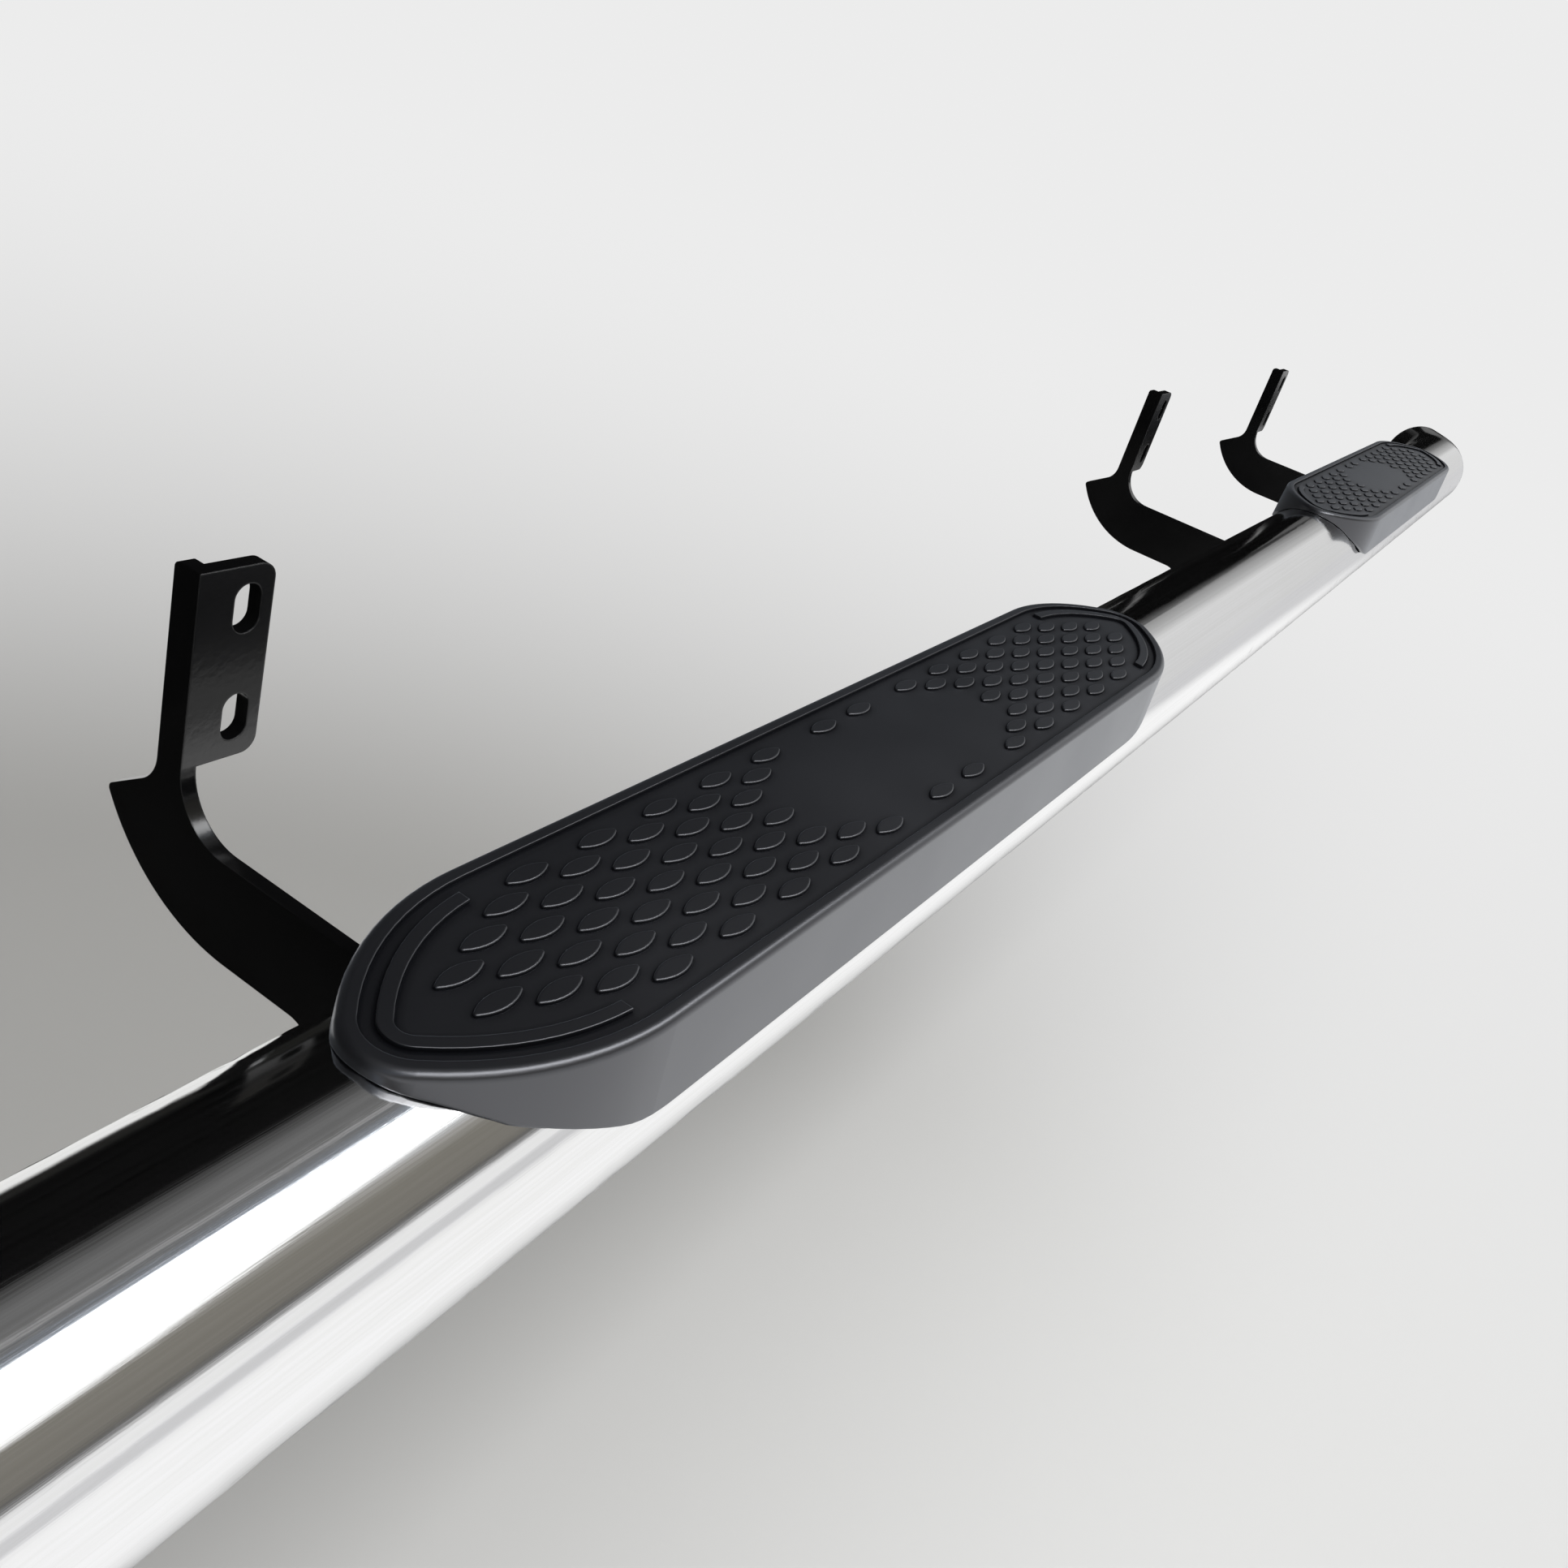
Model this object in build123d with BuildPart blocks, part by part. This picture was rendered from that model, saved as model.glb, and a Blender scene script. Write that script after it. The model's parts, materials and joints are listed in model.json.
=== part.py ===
from build123d import *
import os
from math import atan2, cos, radians, sin, tan

# Side step bar: a bent round tube that carries two moulded step pads and hangs from three plate brackets.
# Millimetres. +X runs along the bar to its front end, +Y points inboard to the vehicle and +Z points up.
# The origin is the middle of the middle bracket's two slots, on the face that seats on the sill flange.

# Tube
tube_diameter = 76.2
tube_wall = 1.65
straight_length = 1865
bend_radius = 76
bend_angle = 35
end_straight = 22
middle_x = -133

# Where the tube's axis lies from the sill flange
reach = 119
drop = 66

# End caps
cap_flange = 4
cap_dome = 3
cap_spigot = 22
cap_wall = 2.5
cap_clearance = 0.2

# Step pads
pad_spacing = 992
pad_length = 532
pad_overhang = 0.9
pad_end_run = 70
pad_tip_radius = 18
pad_rim_rise = 4.4
pad_skirt_height = 9.8
pad_draft = 2
pad_wall = 2.6
pad_panel = 2.4
pad_edge_radius = 2.6
pad_seat_clearance = 0.3
web_thickness = 2
web_pitch = 58
web_count = 8

# The skirt's lower edge sweeps up towards the pad's ends
sweep_run = 68
sweep_angle = 21.2
sweep_radius = 64

# Tread panel, sunk inside a flat rim, with a curved rib round each end
rim_width = 5
tread_depth = 1.5
rib_inset = 9.2
rib_width = 4
rib_reach = 63.5
rib_height = 1.5

# Raised lens-shaped dots on a staggered grid
dot_length = 18.4
dot_width = 6.2
dot_tip_radius = 0.9
dot_height = 1
dot_edge_radius = 0.5
dot_pitch = 31.3
dot_row_pitch = 6.38
dot_first = 39.5
dots_per_row = 5
row_starts = (1.5, 1.0, 0.5, 0.0, 0.5, 0.0, 0.5, 1.0, 1.5)
middle_dot_spacing = 27.4

# Push-in clips that hold the pads
clip_spacing = 120
clips_per_pad = 4
clip_shank_radius = 3.8
clip_hole_radius = 4.2
clip_head_radius = 7
clip_head_thickness = 0.9
clip_pocket_clearance = 0.3
clip_barb_radius = 5.2
clip_barb_gap = 0.65
clip_length = 10

# Brackets, placed by the middle of their slots
rear_bracket_x = -830
front_bracket_x = 380
plate = 5
arm_top = 16.5
arm_bottom = -16.5
relief_depth = 7.5
relief_clearance = 4
relief_radius = 3
arm_inner_radius = 20
arm_outer_radius = 62
arm_outer_lean = 59
arm_outer_corner = 129
leg_length = 38
leg_corner_radius = 2
neck_width = 10
shoulder_height = 29
shoulder_radius = 12
foot_width = 25
foot_bottom = 36
foot_top = 96
foot_corner_radius = 5
slot_pitch = 34
slot_length = 15
slot_radius = 4.5
slot_from_web = 14

# Saddle of a bracket, under the tube
saddle_width = 68
saddle_thickness = 4
saddle_clearance = 0.3
saddle_start = -12
saddle_end = -118
hook_rib = 11.6
hook_tail = 6
hook_heel = 19.6
hook_heel_radius = 10
hook_corner = 30
hook_corner_radius = 16
hook_tail_radius = 3

# M8 fasteners between saddle and tube
bolt_radius = 4
bolt_spacing = 42
bolt_clearance = 0.5
bolt_length = 18
head_across_flats = 13
head_height = 5.3
thread_clearance = 0.05
spot_face_radius = 9.5
spot_face_depth = 1.1
washer_radius = 8.4
washer_thickness = 1.6
lock_washer_radius = 6.4
lock_washer_thickness = 2
lock_washer_slit = 1
bush_radius = 8
bush_length = 12
bush_sink = 0.9
bush_clearance = 0.1

tube_radius = tube_diameter / 2
tube_y = -reach
tube_z = -drop
bracket_x = {"rear": rear_bracket_x, "middle": 0, "front": front_bracket_x}
half_width = tube_radius + pad_overhang
pad_width = 2 * half_width
pad_rim_height = tube_radius + pad_rim_rise
pad_floor = pad_rim_height - tread_depth
pad_ceiling = pad_floor - pad_panel
pad_x = {"rear": middle_x - pad_spacing / 2, "front": middle_x + pad_spacing / 2}
web_x = {place: x - slot_from_web for place, x in bracket_x.items()}
saddle_inner = tube_radius + saddle_clearance
saddle_outer = saddle_inner + saddle_thickness

# The flank arc is tangent to the pad's straight side and to its tip arc
pad_flank_radius = (pad_end_run**2 + half_width**2 - 2 * pad_end_run * pad_tip_radius) / (
    2 * (half_width - pad_tip_radius)
)

# The tube's centre line: its corners are where the straight runs would meet
bend_tangent = bend_radius * tan(radians(bend_angle / 2))
corner_run = straight_length / 2 + bend_tangent
end_run = end_straight + bend_tangent
end_x = corner_run + end_run * cos(radians(bend_angle))
end_y = end_run * sin(radians(bend_angle))

os.makedirs("parts", exist_ok=True)


def clip_places():
    """Centres of the pad clips, along the bar from a pad's middle."""
    return [(i - (clips_per_pad - 1) / 2) * clip_spacing for i in range(clips_per_pad)]


def bolt_places(place):
    """Centres of one bracket's two saddle bolts, under the tube's axis."""
    return [(web_x[place] + side * bolt_spacing / 2, tube_y) for side in (-1, 1)]


def save(piece, name):
    """Names a finished piece and writes it to its own file."""
    piece.label = name
    export_step(piece, f"parts/{name}.step")


def make_tube():
    """Bent stainless tube, with clip holes on top and bush holes underneath."""
    with BuildPart() as tube:
        with BuildLine(Plane((middle_x, tube_y, tube_z))) as path:
            FilletPolyline(
                (-end_x, end_y), (-corner_run, 0), (corner_run, 0), (end_x, end_y), radius=bend_radius
            )
        with BuildSketch(Plane(origin=path.line @ 0, z_dir=path.line % 0)):
            Circle(tube_radius)
            Circle(tube_radius - tube_wall, mode=Mode.SUBTRACT)
        sweep(path=path.line)
        with BuildSketch(Plane.XY.offset(tube_z)):
            with Locations([(pad_x[end] + x, tube_y) for end in pad_x for x in clip_places()]):
                Circle(clip_hole_radius)
        extrude(amount=tube_diameter, mode=Mode.SUBTRACT)
        with BuildSketch(Plane.XY.offset(tube_z)):
            with Locations([spot for place in bracket_x for spot in bolt_places(place)]):
                Circle(bush_radius + bush_clearance)
        extrude(amount=-tube_diameter, mode=Mode.SUBTRACT)
    return tube.part


def make_end_cap(side):
    """Plug with a domed flange that closes one end of the tube; side is -1 at the rear, 1 at the front."""
    outward = (side * cos(radians(bend_angle)), sin(radians(bend_angle)), 0)
    mouth = Plane(origin=(middle_x + side * end_x, tube_y + end_y, tube_z), z_dir=outward)
    spigot_radius = tube_radius - tube_wall - cap_clearance
    with BuildPart() as cap:
        with BuildSketch(mouth):
            Circle(tube_radius)
        extrude(amount=cap_flange)
        fillet(cap.edges().filter_by(GeomType.CIRCLE).sort_by(SortBy.DISTANCE)[-1:], cap_dome)
        with BuildSketch(mouth):
            Circle(spigot_radius)
            Circle(spigot_radius - cap_wall, mode=Mode.SUBTRACT)
        extrude(amount=-cap_spigot)
    return cap.part


def pad_outline(inset=0):
    """The pad's outline, moved in by a parallel inset."""
    corner_x = pad_length / 2 - pad_end_run
    tip_x = pad_length / 2 - pad_tip_radius
    flank_y = half_width - pad_flank_radius
    slope = atan2(-flank_y, tip_x - corner_x)
    join = (
        tip_x + (pad_tip_radius - inset) * cos(slope),
        (pad_tip_radius - inset) * sin(slope),
    )
    with BuildSketch(mode=Mode.PRIVATE) as outline:
        with BuildLine():
            Line((0, half_width - inset), (corner_x, half_width - inset))
            TangentArc((corner_x, half_width - inset), join, tangent=(1, 0))
            TangentArc(join, (pad_length / 2 - inset, 0), tangent=(sin(slope), -cos(slope)))
            mirror(about=Plane.XZ)
            mirror(about=Plane.YZ)
        make_face()
    return outline.sketch


def dot_centres():
    """Centres of the dots from the pad's middle: two staggered groups and two pairs between them."""
    rows = len(row_starts)
    centres = []
    for row, start in enumerate(row_starts):
        y = ((rows - 1) / 2 - row) * dot_row_pitch
        for i in range(dots_per_row):
            x = pad_length / 2 - dot_first - (start + i) * dot_pitch
            centres += [(x, y), (-x, y)]
        if row in (0, rows - 1):
            centres += [(middle_dot_spacing / 2, y), (-middle_dot_spacing / 2, y)]
    return centres


def make_dot():
    """One raised dot: a lens between two arcs, with rounded tips and a rounded top edge."""
    with BuildPart() as dot:
        with BuildSketch() as lens:
            with BuildLine():
                ThreePointArc((-dot_length / 2, 0), (0, dot_width / 2), (dot_length / 2, 0))
                ThreePointArc((dot_length / 2, 0), (0, -dot_width / 2), (-dot_length / 2, 0))
            make_face()
            fillet(lens.vertices(), dot_tip_radius)
        extrude(amount=dot_height)
        fillet(dot.faces().sort_by(Axis.Z)[-1].edges(), dot_edge_radius)
    return dot.part


def make_pad(x):
    """Moulded step pad: a thin shell over the tube, with cross webs that sit on it."""
    axis = Plane((x, tube_y, tube_z))
    dot = make_dot()
    with BuildPart() as pad:
        with BuildSketch(axis.offset(pad_rim_height)):
            add(pad_outline())
        extrude(amount=pad_skirt_height - pad_rim_height, taper=-pad_draft)
        fillet(pad.faces().sort_by(Axis.Z)[-1].edges(), pad_edge_radius)

        # Pockets between the cross webs
        with BuildSketch(axis.offset(pad_ceiling)):
            add(pad_outline(pad_wall))
            with GridLocations(web_pitch, 0, web_count, 1):
                Rectangle(web_thickness, pad_width, mode=Mode.SUBTRACT)
        extrude(amount=pad_skirt_height - pad_ceiling, taper=-pad_draft, mode=Mode.SUBTRACT)

        # Seat on the tube
        with BuildSketch(Plane(origin=axis.origin, z_dir=(1, 0, 0))):
            Circle(tube_radius + pad_seat_clearance)
        extrude(amount=pad_length, both=True, mode=Mode.SUBTRACT)

        # Lower edge swept up at both ends
        with BuildSketch(Plane(origin=axis.origin, x_dir=(1, 0, 0), z_dir=(0, -1, 0))):
            with BuildLine():
                start = pad_length / 2 - sweep_run
                rise = pad_skirt_height + sweep_run * tan(radians(sweep_angle))
                edge = FilletPolyline(
                    (start - sweep_run, pad_skirt_height),
                    (start, pad_skirt_height),
                    (pad_length / 2, rise),
                    (pad_length / 2 + pad_width, rise),
                    radius=sweep_radius,
                )
                Polyline(edge @ 1, (pad_length / 2 + pad_width, 0), (start - sweep_run, 0), edge @ 0)
            make_face()
            mirror(about=Plane.YZ)
        extrude(amount=pad_width, both=True, mode=Mode.SUBTRACT)

        # Tread panel inside the rim
        with BuildSketch(axis.offset(pad_floor)):
            add(pad_outline(rim_width))
        extrude(amount=tread_depth, mode=Mode.SUBTRACT)
        with BuildSketch(axis.offset(pad_floor)):
            add(pad_outline(rib_inset))
            add(pad_outline(rib_inset + rib_width), mode=Mode.SUBTRACT)
            Rectangle(pad_length - 2 * rib_reach, pad_width, mode=Mode.SUBTRACT)
        extrude(amount=rib_height)
        with Locations(axis.offset(pad_floor)):
            with Locations(dot_centres()):
                add(dot)

        # Pockets for the clips' heads
        with BuildSketch(axis.offset(pad_ceiling)):
            with Locations([(place, 0) for place in clip_places()]):
                Circle(clip_head_radius + clip_pocket_clearance)
        extrude(amount=clip_head_thickness + clip_pocket_clearance, mode=Mode.SUBTRACT)
    return pad.part


def make_clips(x):
    """Push-in clips of one pad: a flat head, a shank and a barb below the tube's wall."""
    head_bottom = pad_ceiling
    barb_top = tube_radius - tube_wall - clip_barb_gap
    with BuildPart() as clips:
        for place in clip_places():
            with BuildSketch(Plane(origin=(x + place, tube_y, tube_z), x_dir=(1, 0, 0), z_dir=(0, -1, 0))):
                with BuildLine():
                    Polyline(
                        (0, head_bottom + clip_head_thickness),
                        (clip_head_radius, head_bottom + clip_head_thickness),
                        (clip_head_radius, head_bottom),
                        (clip_shank_radius, head_bottom),
                        (clip_shank_radius, barb_top),
                        (clip_barb_radius, barb_top),
                        (clip_shank_radius / 2, head_bottom - clip_length),
                        (0, head_bottom - clip_length),
                        close=True,
                    )
                make_face()
            revolve(axis=Axis((x + place, tube_y, tube_z), (0, 0, 1)))
    return clips.part


def make_bracket(place):
    """Plate bracket: a curved arm with a slotted foot flange above and a saddle that cups the tube.

    An arm that stands under a pad has a notch in its top edge for the pad's skirt.
    """
    x = web_x[place]
    side = Plane(origin=(x, tube_y, tube_z), x_dir=(0, 1, 0), z_dir=(1, 0, 0))
    leg = (
        arm_outer_corner + leg_length * cos(radians(arm_outer_lean)),
        arm_bottom + leg_length * sin(radians(arm_outer_lean)),
    )
    foot_y = tube_y + reach
    heel = saddle_outer + hook_heel
    depth = saddle_outer + hook_rib
    with BuildPart() as bracket:
        with BuildSketch(side):
            with BuildLine():
                edge = FilletPolyline(
                    (0, arm_top),
                    (reach, arm_top),
                    (reach, foot_top),
                    (reach + neck_width, foot_top),
                    (reach + neck_width, shoulder_height),
                    leg,
                    (arm_outer_corner, arm_bottom),
                    (heel, arm_bottom),
                    (hook_corner, -depth),
                    (-hook_tail, -depth),
                    (-hook_tail, 0),
                    radius=(
                        arm_inner_radius,
                        leg_corner_radius,
                        leg_corner_radius,
                        shoulder_radius,
                        leg_corner_radius,
                        arm_outer_radius,
                        hook_heel_radius,
                        hook_corner_radius,
                        hook_tail_radius,
                    ),
                )
                Line(edge @ 1, edge @ 0)
            make_face()
        extrude(amount=plate / 2, both=True)
        if any(abs(x - middle) < pad_length / 2 for middle in pad_x.values()):
            with BuildSketch(side):
                with Locations((0, arm_top)):
                    RectangleRounded(2 * (half_width + relief_clearance), 2 * relief_depth, relief_radius)
            extrude(amount=plate, both=True, mode=Mode.SUBTRACT)

        # Saddle round the tube's lower inboard side
        with BuildSketch(side):
            with BuildLine():
                CenterArc((0, 0), saddle_outer, saddle_start, saddle_end - saddle_start)
                CenterArc((0, 0), saddle_inner, saddle_start, saddle_end - saddle_start)
                for angle in (saddle_start, saddle_end):
                    inner = (saddle_inner * cos(radians(angle)), saddle_inner * sin(radians(angle)))
                    PolarLine(inner, saddle_thickness, angle)
            make_face()
        extrude(amount=saddle_width / 2, both=True)
        with BuildSketch(side):
            Circle(saddle_inner)
        extrude(amount=saddle_width, both=True, mode=Mode.SUBTRACT)

        # Bolt holes with spot faces, from below
        with Locations(Plane(origin=(x, tube_y, tube_z - saddle_outer), z_dir=(0, 0, -1))):
            with GridLocations(bolt_spacing, 0, 2, 1):
                CounterBoreHole(bolt_radius + bolt_clearance, spot_face_radius, spot_face_depth, saddle_outer)

        # Foot flange, bent off the web towards the front
        foot_height = foot_top - foot_bottom
        foot_corner = (x - plate / 2, foot_y, tube_z + foot_bottom)
        with BuildSketch(Plane(origin=foot_corner, x_dir=(1, 0, 0), z_dir=(0, -1, 0))) as foot:
            with Locations((foot_width / 2, foot_height / 2)):
                Rectangle(foot_width, foot_height)
            fillet(foot.vertices().group_by(Axis.X)[-1], foot_corner_radius)
            with Locations((slot_from_web + plate / 2, foot_height / 2)):
                with GridLocations(0, slot_pitch, 1, 2):
                    SlotOverall(slot_length, 2 * slot_radius, rotation=90, mode=Mode.SUBTRACT)
        extrude(amount=-plate)
    return bracket.part


def make_bolts(place):
    """Hex bolts of one saddle, screwed up into the tube's bushes."""
    under_head = tube_z - saddle_outer + spot_face_depth - washer_thickness - lock_washer_thickness
    with BuildPart() as bolts:
        with BuildSketch(Plane.XY.offset(under_head)):
            with Locations(bolt_places(place)):
                RegularPolygon(head_across_flats / 2, 6, major_radius=False)
        extrude(amount=-head_height)
        with BuildSketch(Plane.XY.offset(under_head)):
            with Locations(bolt_places(place)):
                Circle(bolt_radius)
        extrude(amount=bolt_length)
    return bolts.part


def make_washers(place):
    """Flat washers of one saddle, on its spot faces."""
    with BuildPart() as washers:
        with BuildSketch(Plane.XY.offset(tube_z - saddle_outer + spot_face_depth)):
            with Locations(bolt_places(place)):
                Circle(washer_radius)
                Circle(bolt_radius + bolt_clearance / 2, mode=Mode.SUBTRACT)
        extrude(amount=-washer_thickness)
    return washers.part


def make_lock_washers(place):
    """Split spring washers between the flat washers and the bolts' heads."""
    with BuildPart() as washers:
        with BuildSketch(Plane.XY.offset(tube_z - saddle_outer + spot_face_depth - washer_thickness)):
            with Locations(bolt_places(place)):
                Circle(lock_washer_radius)
                Circle(bolt_radius + bolt_clearance / 2, mode=Mode.SUBTRACT)
                with Locations((lock_washer_radius, 0)):
                    Rectangle(2 * lock_washer_radius, lock_washer_slit, mode=Mode.SUBTRACT)
        extrude(amount=-lock_washer_thickness)
    return washers.part


def make_bushes(place):
    """Threaded bushes welded into the tube's underside."""
    with BuildPart() as bushes:
        with BuildSketch(Plane.XY.offset(tube_z - tube_radius + bush_sink)):
            with Locations(bolt_places(place)):
                Circle(bush_radius)
                Circle(bolt_radius + thread_clearance, mode=Mode.SUBTRACT)
        extrude(amount=bush_length)
    return bushes.part


save(make_tube(), "tube")
for end, side in (("rear", -1), ("front", 1)):
    save(make_end_cap(side), f"end_cap_{end}")
    save(make_pad(pad_x[end]), f"step_pad_{end}")
    save(make_clips(pad_x[end]), f"pad_clips_{end}")
for place in bracket_x:
    save(make_bracket(place), f"bracket_{place}")
    save(make_bushes(place), f"threaded_bushes_{place}")
    save(make_washers(place), f"flat_washers_{place}")
    save(make_lock_washers(place), f"lock_washers_{place}")
    save(make_bolts(place), f"saddle_bolts_{place}")
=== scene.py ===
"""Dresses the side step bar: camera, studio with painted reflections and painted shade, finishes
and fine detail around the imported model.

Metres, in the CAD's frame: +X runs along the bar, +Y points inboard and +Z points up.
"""
import json
import math

import bpy
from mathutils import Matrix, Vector

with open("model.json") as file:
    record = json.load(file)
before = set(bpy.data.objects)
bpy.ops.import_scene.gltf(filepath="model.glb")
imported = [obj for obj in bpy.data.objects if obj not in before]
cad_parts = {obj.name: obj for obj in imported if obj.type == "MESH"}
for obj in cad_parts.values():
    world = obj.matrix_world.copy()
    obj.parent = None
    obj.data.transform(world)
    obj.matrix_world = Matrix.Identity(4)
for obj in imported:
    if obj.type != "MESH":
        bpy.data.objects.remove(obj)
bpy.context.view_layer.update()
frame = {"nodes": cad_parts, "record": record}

# Camera, fitted to the photograph; the turn is in degrees, the lens and sensor in millimetres
CAMERA_PLACE = (-1.0881, -0.2803, 0.1981)
CAMERA_TURN = (61.380, -16.109, -57.774)
CAMERA_LENS = 33.2
SENSOR = 36.0
CLIP_START = 0.01

# The tube's centre line, as in the CAD
TUBE_MIDDLE = -0.133
TUBE_HALF = 0.9325
TUBE_Y = -0.119
TUBE_Z = -0.066
BEND_RADIUS = 0.076
BEND_ANGLE = math.radians(35)

# A face of the tube is on its outer wall where its normal agrees with the exact one this well
WALL_MATCH = 0.9

# Floor and wall as the camera sees them, the floor with painted shade inboard where the vehicle
# would shade it; a rise is where a change starts and where it ends
FLOOR_HEIGHT = -0.496
FLOOR_HALF = 60.0
FLOOR_OUTBOARD = (0.78, 0.78, 0.77)
FLOOR_INBOARD_SHADE = (0.42, 0.415, 0.40)
INBOARD_SHADE_RISE = (-0.42, 0.30)
WALL = 0.84

# The floor melts into the wall by one over its distance from here
FADE_CENTRE = (-0.9, 0.0, FLOOR_HEIGHT)
WALL_RISE = (1.5, 0.2)

# Painted reflection: the floor as only shining surfaces see it, a glow that is white near and
# greyer far off, with painted shade inboard and a painted pool of light that has soft edges
SHINE_NEAR = (0.99, 0.99, 0.99, 1)
SHINE_FAR = (0.66, 0.66, 0.67, 1)
SHINE_FAR_RISE = (2.2, 3.8)
SHINE_INBOARD_SHADE = (0.012, 0.012, 0.011, 1)
SHINE_LIGHT_POOL = (0.85, 0.85, 0.84, 1)
PATCH_REAR = (-0.95, -0.75)
PATCH_FRONT = (0.45, 0.10)
PATCH_OUTBOARD = (0.32, 0.45)
PATCH_INBOARD = (1.90, 1.30)

# Painted reflections that light nothing: the surroundings as only shining surfaces see them, with
# bands of painted highlight and painted shade dark inboard where the vehicle would stand, beside
# the bar and beyond its front end:
# (turn, grey or colour), with the turn 0 or 1 outboard, 0.5 inboard and 0.75 overhead
BESIDE = (
    (0.00, 0.80), (0.30, 0.10), (0.50, 0.01), (0.665, 0.01), (0.700, 0.12),
    (0.742, 0.15), (0.750, 0.15), (0.756, 0.45), (0.762, 0.13), (0.778, (0.17, 0.18, 0.20)),
    (0.790, (0.40, 0.46, 0.54)), (0.84, (0.55, 0.60, 0.66)), (0.852, (0.56, 0.57, 0.58)),
    (0.870, (0.36, 0.35, 0.33)), (0.890, (0.21, 0.20, 0.175)), (0.950, (0.19, 0.18, 0.16)),
    (0.958, 0.08), (0.966, 0.20), (0.975, 0.90),
)
BEYOND = (
    (0.00, 0.68), (0.30, 0.26), (0.48, 0.25), (0.56, 0.06), (0.64, 0.09), (0.68, 0.16),
    (0.72, 0.34), (0.77, 0.50), (0.80, 0.71), (0.98, 0.68),
)
BEYOND_RISE = (0.62, 0.90)
EVEN_LIGHT = 0.62

# Softbox over the bar; the power is in watts
SOFTBOX_PLACE = (-0.3, -0.70, 1.25)
SOFTBOX_AIM = (-0.3, -0.12, -0.07)
SOFTBOX_SIZE = (2.2, 0.45)
SOFTBOX_POWER = 16


def upright(low, high):
    """Corners of an upright rectangle between two opposite corners."""
    return (low, (high[0], high[1], low[2]), high, (low[0], low[1], high[2]))


def level(height, *places):
    """Corners of a level outline, from its (x, y) places."""
    return tuple((x, y, height) for x, y in places)


# Painted reflections, cards that only reflections see: dark ones as painted shade where the
# vehicle would stand, and a glowing wedge as a painted highlight; (name, corners, greys from
# bottom to top)
CARDS = (
    ("flag_sill", upright((-2.4, 0.030, -0.030), (0.90, 0.030, 0.260)), (0.002, 0.002)),
    ("flag_underside", level(-0.030, (-2.4, 0.03), (1.0, 0.03), (1.0, 1.2), (-2.4, 1.2)),
     (0.002, 0.002)),
    ("flag_door", upright((-2.4, 0.060, 0.260), (1.60, 0.060, 1.100)),
     (0.002, 0.09, 0.135, 0.155, 0.155)),
    ("flag_end", upright((0.98, 0.060, -0.496), (0.98, 0.320, 0.150)), (0.003, 0.003)),
    ("flag_end_side", upright((0.98, 0.000, -0.496), (2.40, 0.000, 0.110)), (0.003, 0.003)),
    # Painted highlight: a glowing card that is no lamp, seen only in reflections
    ("painted_highlight_wedge", level(1.25, (-1.6, -0.88), (0.6, -0.88), (0.29, -1.06), (-0.1, -1.5), (-1.6, -2.0)),
     (1.2, 1.2)),
)


def grey(value):
    return (value, value, value, 1)


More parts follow.
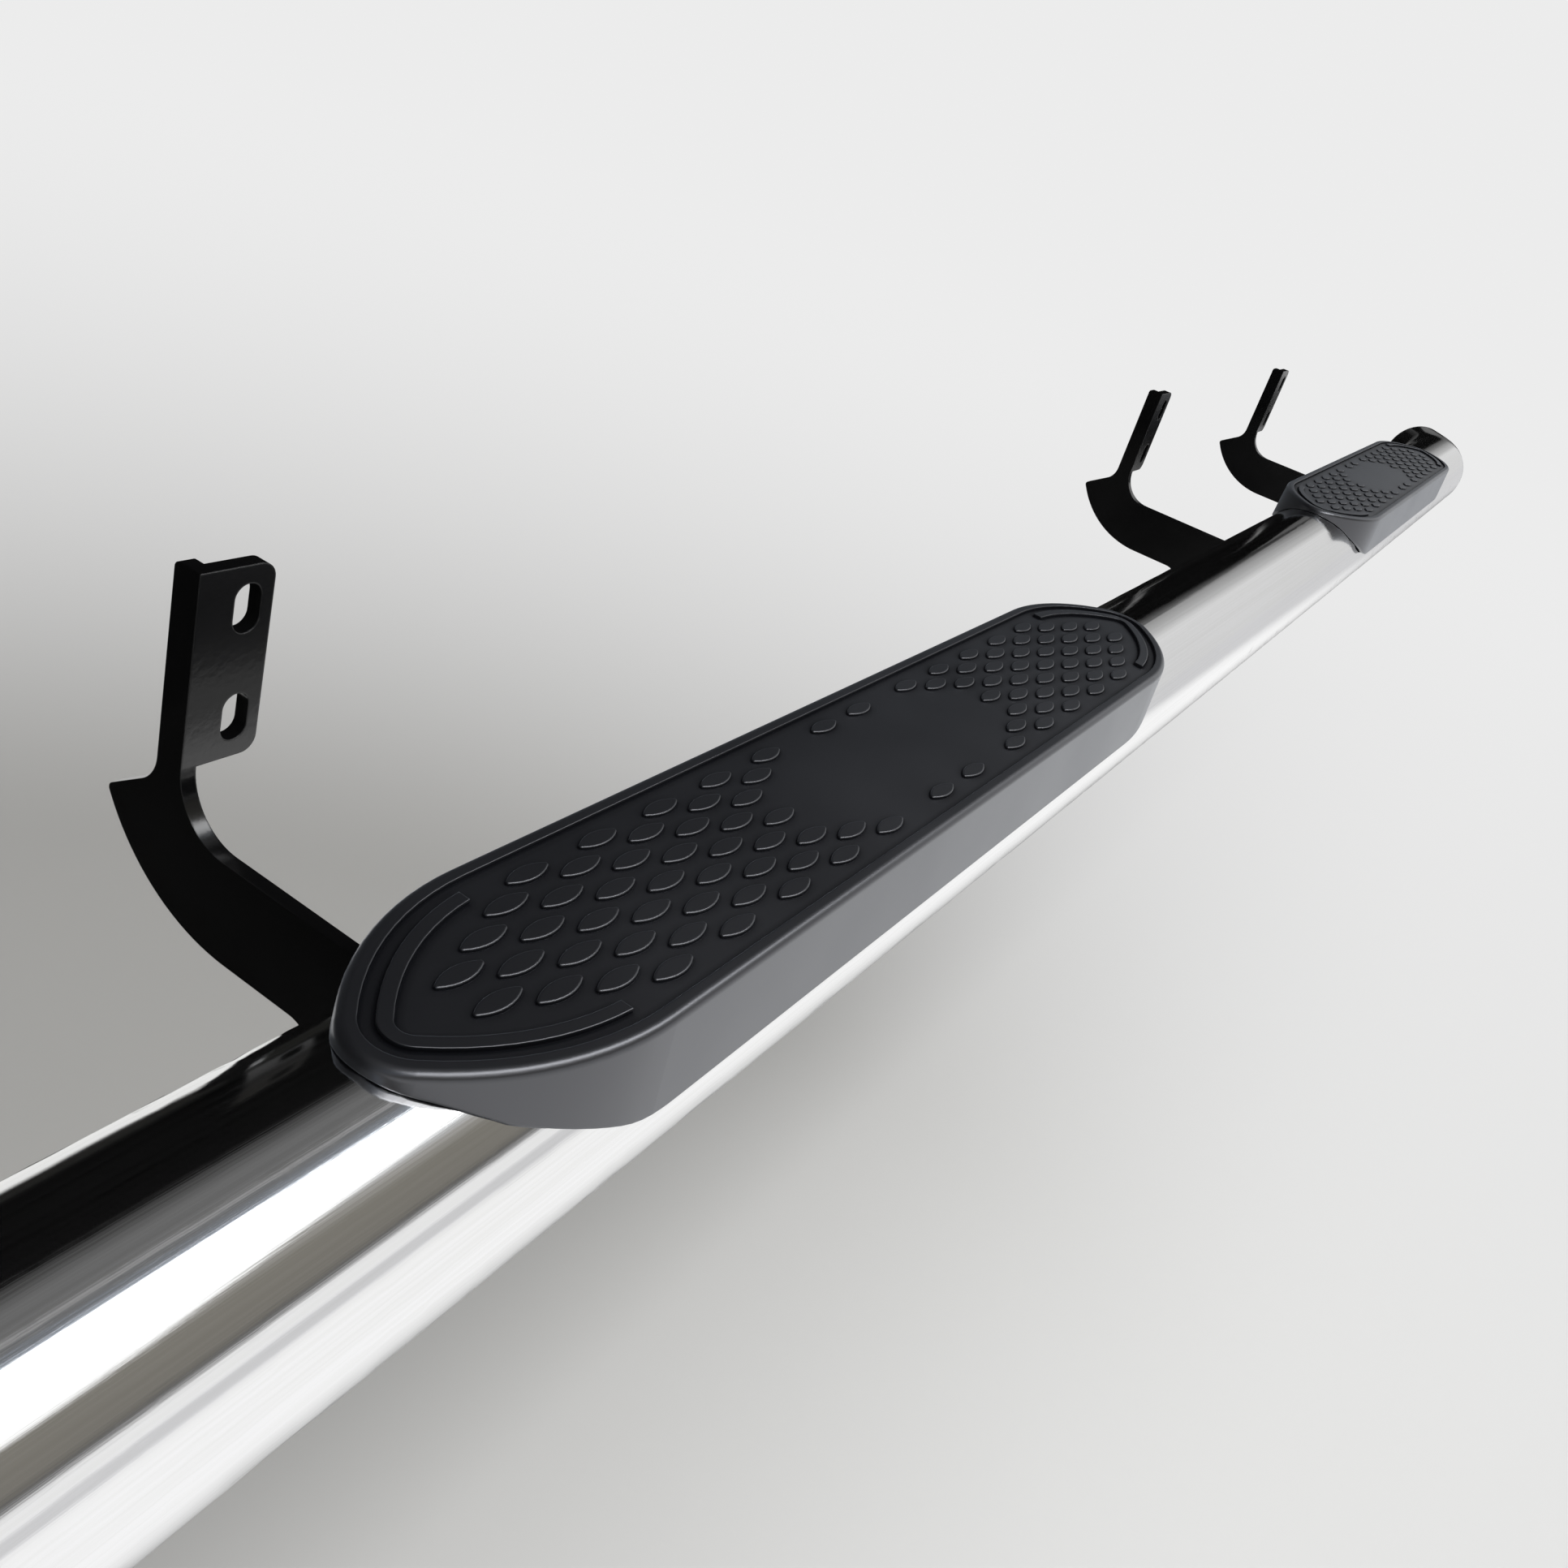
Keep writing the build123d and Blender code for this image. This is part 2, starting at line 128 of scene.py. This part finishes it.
class Nodes:
    """Makes a node tree in reading order."""

    def __init__(self, tree):
        self.tree = tree
        tree.nodes.clear()

    def add(self, kind, **values):
        """Adds a node and sets its properties, or else the inputs of that name, _ for a space."""
        node = self.tree.nodes.new(kind)
        for name, value in values.items():
            if hasattr(node, name):
                setattr(node, name, value)
            else:
                self.put(node.inputs[name.replace("_", " ")], value)
        return node

    def put(self, socket, value):
        """Links an output to a socket, or sets the socket to a plain value."""
        if isinstance(value, bpy.types.NodeSocket):
            self.tree.links.new(value, socket)
        else:
            socket.default_value = value

    def fill(self, node, *values):
        """Puts values into a node's inputs in their order, and returns its first output."""
        for socket, value in zip(node.inputs, values):
            self.put(socket, value)
        return node.outputs[0]

    def math(self, operation, *values):
        return self.fill(self.add("ShaderNodeMath", operation=operation), *values)

    def ramp(self, factor, stops):
        """Colour ramp; stops are (position, grey or colour)."""
        node = self.add("ShaderNodeValToRGB")
        elements = node.color_ramp.elements
        while len(elements) < len(stops):
            elements.new(0.5)
        for element, (position, colour) in zip(elements, stops):
            element.position = position
            element.color = grey(colour) if isinstance(colour, float) else (*colour, 1)
        return self.fill(node, factor)

    def fade(self, value, start, end):
        """Rises smoothly from 0 at start to 1 at end."""
        node = self.add("ShaderNodeMapRange", interpolation_type="SMOOTHSTEP", Value=value,
                        From_Min=start, From_Max=end)
        return node.outputs[0]

    def mix(self, factor, first, second):
        """Mixes two colours."""
        node = self.add("ShaderNodeMix", data_type="RGBA")
        self.put(node.inputs["Factor"], factor)
        self.put(node.inputs[6], first)
        self.put(node.inputs[7], second)
        return node.outputs[2]

    def blend(self, factor, first, second):
        """Mixes two shaders."""
        return self.fill(self.add("ShaderNodeMixShader"), factor, first, second)

    def noise(self, scale, detail, stretch=(1, 1, 1), roughness=0.5):
        """Noise in the object's own metres; stretch multiplies the frequency along each axis."""
        place = self.add("ShaderNodeTexCoord").outputs["Object"]
        mapping = self.add("ShaderNodeMapping", Vector=place, Scale=stretch)
        node = self.add("ShaderNodeTexNoise", Vector=mapping.outputs[0], Scale=scale,
                        Detail=detail, Roughness=roughness)
        return node.outputs["Fac"]

    def bump(self, height, strength, distance, edge=0.0, samples=4):
        """Bumped normal, over edges that look rounded to the radius given as edge."""
        node = self.add("ShaderNodeBump", Height=height, Strength=strength, Distance=distance)
        if edge:
            rounded = self.add("ShaderNodeBevel", samples=samples, Radius=edge)
            self.put(node.inputs["Normal"], rounded.outputs[0])
        return node.outputs[0]

    def emission(self, colour):
        return self.add("ShaderNodeEmission", Color=colour, Strength=1.0).outputs[0]

    def background(self, colour, strength=1.0):
        return self.add("ShaderNodeBackground", Color=colour, Strength=strength).outputs[0]

    def surface(self, colour, rough, normal, **values):
        """Principled shader; values are its other inputs."""
        node = self.add("ShaderNodeBsdfPrincipled", Base_Color=colour, Roughness=rough,
                        Normal=normal, **values)
        return node.outputs[0]


def new_material(name, build):
    """Makes a material from a function that fills its node tree and returns a shader."""
    material = bpy.data.materials.new(name)
    material.use_nodes = True
    nodes = Nodes(material.node_tree)
    shader = build(nodes)
    nodes.add("ShaderNodeOutputMaterial", Surface=shader)
    return material


def new_object(name, data):
    piece = bpy.data.objects.new(name, data)
    bpy.context.collection.objects.link(piece)
    return piece


def new_sheet(name, corners):
    """Makes a flat object of one face."""
    mesh = bpy.data.meshes.new(name)
    mesh.from_pydata(corners, [], [range(len(corners))])
    return new_object(name, mesh)


def polished_steel(nodes):
    """Mirror-polished stainless tube with faint lengthwise polishing lines and smears."""
    lines = nodes.noise(60, detail=5, stretch=(0.05, 14, 14), roughness=0.6)
    smear = nodes.noise(9, detail=3, stretch=(0.5, 1.5, 1.5))
    rough = nodes.add("ShaderNodeMapRange", Value=lines, From_Min=0.3, From_Max=0.7,
                      To_Min=0.05, To_Max=0.12)
    streak = nodes.math("MULTIPLY_ADD", lines, 0.7, nodes.math("MULTIPLY", smear, 0.3))
    tint = nodes.ramp(streak, ((0.38, (0.855, 0.855, 0.85)), (0.62, (0.915, 0.915, 0.92))))
    bump = nodes.bump(lines, strength=0.10, distance=0.0002)
    return nodes.surface(tint, rough.outputs[0], bump, Metallic=1.0)


def moulded_plastic(nodes):
    """Black moulded pads: spark-eroded grain, soft edges, and painted shade where the shine and
    sheen fade in corners.
    """
    grain = nodes.noise(2600, detail=2)
    cloud = nodes.noise(14, detail=4)
    bump = nodes.bump(grain, strength=0.14, distance=0.00006, edge=0.0007, samples=8)
    colour = nodes.ramp(cloud, ((0.35, (0.006, 0.0063, 0.0078)), (0.7, (0.009, 0.0095, 0.0115))))
    rough = nodes.ramp(cloud, ((0.3, 0.29), (0.7, 0.35)))
    # Painted shade: ambient occlusion cuts back the shine and sheen in corners and at the dots'
    # feet
    corner = nodes.add("ShaderNodeAmbientOcclusion", samples=8, only_local=True, Distance=0.003)
    openness = corner.outputs["AO"]
    return nodes.surface(
        colour, rough, bump, IOR=1.95,
        Specular_IOR_Level=nodes.ramp(openness, ((0.70, 0.0), (0.98, 0.5))),
        Specular_Tint=(0.93, 0.94, 1.0, 1.0),
        Sheen_Weight=nodes.ramp(openness, ((0.70, 0.0), (0.98, 0.20))),
        Sheen_Roughness=0.35,
        Sheen_Tint=(0.80, 0.88, 1.0, 1.0))


def powder_coat(nodes):
    """Gloss black powder coat with orange peel."""
    peel = nodes.noise(420, detail=2)
    cloud = nodes.noise(18, detail=3)
    bump = nodes.bump(peel, strength=0.12, distance=0.0003, edge=0.0007)
    colour = nodes.ramp(cloud, ((0.3, (0.002, 0.002, 0.0022)), (0.7, (0.0035, 0.0035, 0.0037))))
    rough = nodes.ramp(cloud, ((0.3, 0.16), (0.7, 0.22)))
    return nodes.surface(colour, rough, bump, IOR=1.6)


def satin_plastic(nodes):
    """Black injection-moulded caps and clips."""
    grain = nodes.noise(1500, detail=2)
    cloud = nodes.noise(30, detail=3)
    bump = nodes.bump(grain, strength=0.15, distance=0.0001)
    colour = nodes.ramp(cloud, ((0.3, (0.016, 0.016, 0.017)), (0.7, (0.024, 0.024, 0.025))))
    rough = nodes.ramp(cloud, ((0.3, 0.38), (0.7, 0.46)))
    return nodes.surface(colour, rough, bump)


def zinc_plate(nodes):
    """Bright zinc plating with a faint blue and straw bloom."""
    cloud = nodes.noise(160, detail=3)
    scratch = nodes.noise(900, detail=3, stretch=(1, 1, 0.2))
    bump = nodes.bump(scratch, strength=0.1, distance=0.0001, edge=0.0004)
    colour = nodes.ramp(cloud, (
        (0.3, (0.62, 0.65, 0.70)), (0.55, (0.72, 0.72, 0.71)), (0.75, (0.74, 0.71, 0.62))))
    rough = nodes.ramp(cloud, ((0.3, 0.24), (0.7, 0.36)))
    return nodes.surface(colour, rough, bump, Metallic=1.0)


def turned_steel(nodes):
    """Plain turned steel of the welded bushes."""
    rings = nodes.noise(700, detail=2, stretch=(1, 1, 4))
    bump = nodes.bump(rings, strength=0.2, distance=0.0001)
    colour = nodes.ramp(rings, ((0.3, (0.50, 0.50, 0.50)), (0.7, (0.60, 0.60, 0.60))))
    return nodes.surface(colour, 0.38, bump, Metallic=1.0)


# The finish of each material slot in the record
FINISHES = {
    "polished_stainless": polished_steel,
    "pad_plastic": moulded_plastic,
    "cap_plastic": satin_plastic,
    "clip_plastic": satin_plastic,
    "black_powder_coat": powder_coat,
    "bush_steel": turned_steel,
    "zinc_steel": zinc_plate,
}


def dress_nodes():
    """Gives each CAD node the finish of its material slot."""
    materials = {name: new_material(name, build) for name, build in FINISHES.items()}
    slots = {row["node"]: row["material_slot"] for row in frame["record"]["subparts"]}
    for name, piece in frame["nodes"].items():
        for slot in piece.material_slots:
            slot.material = materials[slots[name]]


def polish_tube():
    """Gives the tube the normals of a true bent cylinder, so its mirror finish shows no facets."""
    tree = bpy.data.node_groups.new("tube_normals", "GeometryNodeTree")
    for way in ("INPUT", "OUTPUT"):
        tree.interface.new_socket("Geometry", in_out=way, socket_type="NodeSocketGeometry")
    nodes = Nodes(tree)
    place = nodes.add("GeometryNodeInputPosition").outputs[0]
    x, y, z = nodes.add("ShaderNodeSeparateXYZ", Vector=place).outputs
    offset = nodes.math("SUBTRACT", x, TUBE_MIDDLE)
    beyond = nodes.math("SUBTRACT", nodes.math("ABSOLUTE", offset), TUBE_HALF)

    # The angle swept along the bend, 0 on the straight run and BEND_ANGLE on the end run
    inboard = nodes.math("SUBTRACT", y, TUBE_Y)
    turn = nodes.math("ARCTAN2", beyond, nodes.math("SUBTRACT", BEND_RADIUS, inboard))
    turn = nodes.math("MINIMUM", nodes.math("MAXIMUM", turn, 0.0), BEND_ANGLE)
    sine, cosine = nodes.math("SINE", turn), nodes.math("COSINE", turn)

    # How far out from the centre line, level and square to it
    from_x = nodes.math("SUBTRACT", beyond, nodes.math("MULTIPLY", BEND_RADIUS, sine))
    drop = nodes.math("MULTIPLY", BEND_RADIUS, nodes.math("SUBTRACT", 1.0, cosine))
    from_y = nodes.math("SUBTRACT", inboard, drop)
    out = nodes.math(
        "SUBTRACT", nodes.math("MULTIPLY", from_y, cosine), nodes.math("MULTIPLY", from_x, sine))
    along = nodes.math("MULTIPLY", nodes.math("MULTIPLY", out, sine), nodes.math("SIGN", offset))
    radial = nodes.fill(
        nodes.add("ShaderNodeCombineXYZ"), nodes.math("MULTIPLY", along, -1.0),
        nodes.math("MULTIPLY", out, cosine), nodes.math("SUBTRACT", z, TUBE_Z))
    exact = nodes.fill(nodes.add("ShaderNodeVectorMath", operation="NORMALIZE"), radial)

    # Faces of the holes and of the tube's ends and bore keep their own normals
    packed = nodes.add("GeometryNodeInputNormal")
    match = nodes.add("ShaderNodeVectorMath", operation="DOT_PRODUCT")
    nodes.fill(match, exact, packed.outputs["True Normal"])
    on_wall = nodes.math("GREATER_THAN", match.outputs["Value"], WALL_MATCH)
    pick = nodes.add("GeometryNodeSwitch", input_type="VECTOR")
    normal = nodes.fill(pick, on_wall, packed.outputs["Normal"], exact)
    mesh = nodes.add("NodeGroupInput").outputs[0]
    shaded = nodes.add("GeometryNodeSetMeshNormal", mode="FREE", domain="CORNER", Mesh=mesh,
                       Custom_Normal=normal)
    nodes.put(nodes.add("NodeGroupOutput").inputs[0], shaded.outputs[0])
    frame["nodes"]["tube"].modifiers.new("tube_normals", "NODES").node_group = tree


def floor_paint(nodes):
    """Plain pale floor with painted shade inboard where the vehicle would stand, that far off
    melts into the wall.
    """
    place = nodes.add("ShaderNodeTexCoord").outputs["Object"]
    x, y, _ = nodes.add("ShaderNodeSeparateXYZ", Vector=place).outputs
    # Painted shade: the floor greys inboard, where the vehicle would shade it
    inboard = nodes.fade(y, *INBOARD_SHADE_RISE)
    reach = nodes.add("ShaderNodeVectorMath", operation="DISTANCE")
    nodes.fill(reach, place, FADE_CENTRE)
    distance = reach.outputs["Value"]
    colour = nodes.ramp(inboard, ((0.0, FLOOR_OUTBOARD), (1.0, FLOOR_INBOARD_SHADE)))
    matt = nodes.add("ShaderNodeBsdfPrincipled", Base_Color=colour, Roughness=0.6).outputs[0]
    far = nodes.fade(nodes.math("DIVIDE", 1.0, distance), *WALL_RISE)
    plain = nodes.blend(far, matt, nodes.emission(grey(WALL)))

    # Painted reflection: what shines sees a glowing floor, white outboard, painted shade inboard
    # and a painted pool of light beyond
    length = nodes.math("MULTIPLY", nodes.fade(x, *PATCH_REAR), nodes.fade(x, *PATCH_FRONT))
    width = nodes.math("MULTIPLY", nodes.fade(y, *PATCH_OUTBOARD), nodes.fade(y, *PATCH_INBOARD))
    patch = nodes.math("MULTIPLY", length, width)
    white = nodes.mix(nodes.fade(distance, *SHINE_FAR_RISE), SHINE_NEAR, SHINE_FAR)
    dark = nodes.mix(inboard, white, SHINE_INBOARD_SHADE)
    shine = nodes.emission(nodes.mix(patch, dark, SHINE_LIGHT_POOL))
    glossy = nodes.add("ShaderNodeLightPath").outputs["Is Glossy Ray"]
    above = nodes.blend(glossy, plain, shine)

    # Clear from underneath, so the bar can be looked at from below
    underneath = nodes.add("ShaderNodeNewGeometry").outputs["Backfacing"]
    return nodes.blend(underneath, above, nodes.add("ShaderNodeBsdfTransparent").outputs[0])


def make_floor():
    half = FLOOR_HALF
    corners = level(FLOOR_HEIGHT, (-half, -half), (half, -half), (half, half), (-half, half))
    floor = new_sheet("floor", corners)
    floor.data.materials.append(new_material("floor_paint", floor_paint))


def card_paint(greys):
    """Returns the function that paints a card with greys from its bottom to its top, a glow of
    painted shade or painted highlight.
    """
    stops = [(step / (len(greys) - 1), value) for step, value in enumerate(greys)]

    def paint(nodes):
        place = nodes.add("ShaderNodeTexCoord").outputs["Generated"]
        height = nodes.add("ShaderNodeSeparateXYZ", Vector=place).outputs[2]
        return nodes.emission(nodes.ramp(height, stops))

    return paint


def make_cards():
    """Cards of painted reflection, mostly dark as painted shade where the vehicle would stand, the
    wedge a painted highlight; only reflections see them.
    """
    for name, corners, greys in CARDS:
        card = new_sheet(name, corners)
        card.visible_camera = False
        card.visible_diffuse = False
        card.visible_shadow = False
        card.visible_transmission = False
        card.data.materials.append(new_material(name + "_card", card_paint(greys)))


def make_world():
    """Even light all round; the camera sees a plain wall, and what shines sees a studio of painted
    reflections that lights nothing.
    """
    world = bpy.data.worlds.new("studio")
    bpy.context.scene.world = world
    world.use_nodes = True
    nodes = Nodes(world.node_tree)
    path = nodes.add("ShaderNodeLightPath")
    way = nodes.add("ShaderNodeTexCoord").outputs["Generated"]
    x, y, z = nodes.add("ShaderNodeSeparateXYZ", Vector=way).outputs
    turn = nodes.math("MULTIPLY_ADD", nodes.math("ARCTAN2", z, y), 0.5 / math.pi, 0.5)
    # Painted reflection: the studio that only glossy rays see, dark where the vehicle would stand
    studio = nodes.mix(
        nodes.fade(x, *BEYOND_RISE), nodes.ramp(turn, BESIDE), nodes.ramp(turn, BEYOND))
    even = nodes.background(grey(1), EVEN_LIGHT)
    lit = nodes.blend(path.outputs["Is Glossy Ray"], even, nodes.background(studio))
    seen = nodes.blend(path.outputs["Is Camera Ray"], lit, nodes.background(grey(WALL)))
    nodes.add("ShaderNodeOutputWorld", Surface=seen)


def make_softbox():
    data = bpy.data.lights.new("overhead", "AREA")
    data.shape = "RECTANGLE"
    data.size, data.size_y = SOFTBOX_SIZE
    data.energy = SOFTBOX_POWER
    lamp = new_object("overhead", data)
    lamp.location = SOFTBOX_PLACE
    aim = Vector(SOFTBOX_AIM) - Vector(SOFTBOX_PLACE)
    lamp.rotation_euler = aim.to_track_quat("-Z", "Y").to_euler()


def make_camera():
    data = bpy.data.cameras.new("camera")
    data.lens = CAMERA_LENS
    data.sensor_width = SENSOR
    data.clip_start = CLIP_START
    camera = new_object("camera", data)
    camera.location = CAMERA_PLACE
    camera.rotation_euler = [math.radians(angle) for angle in CAMERA_TURN]
    bpy.context.scene.camera = camera


make_camera()
dress_nodes()
polish_tube()
make_floor()
make_cards()
make_world()
make_softbox()
bpy.context.scene.view_settings.view_transform = "Standard"
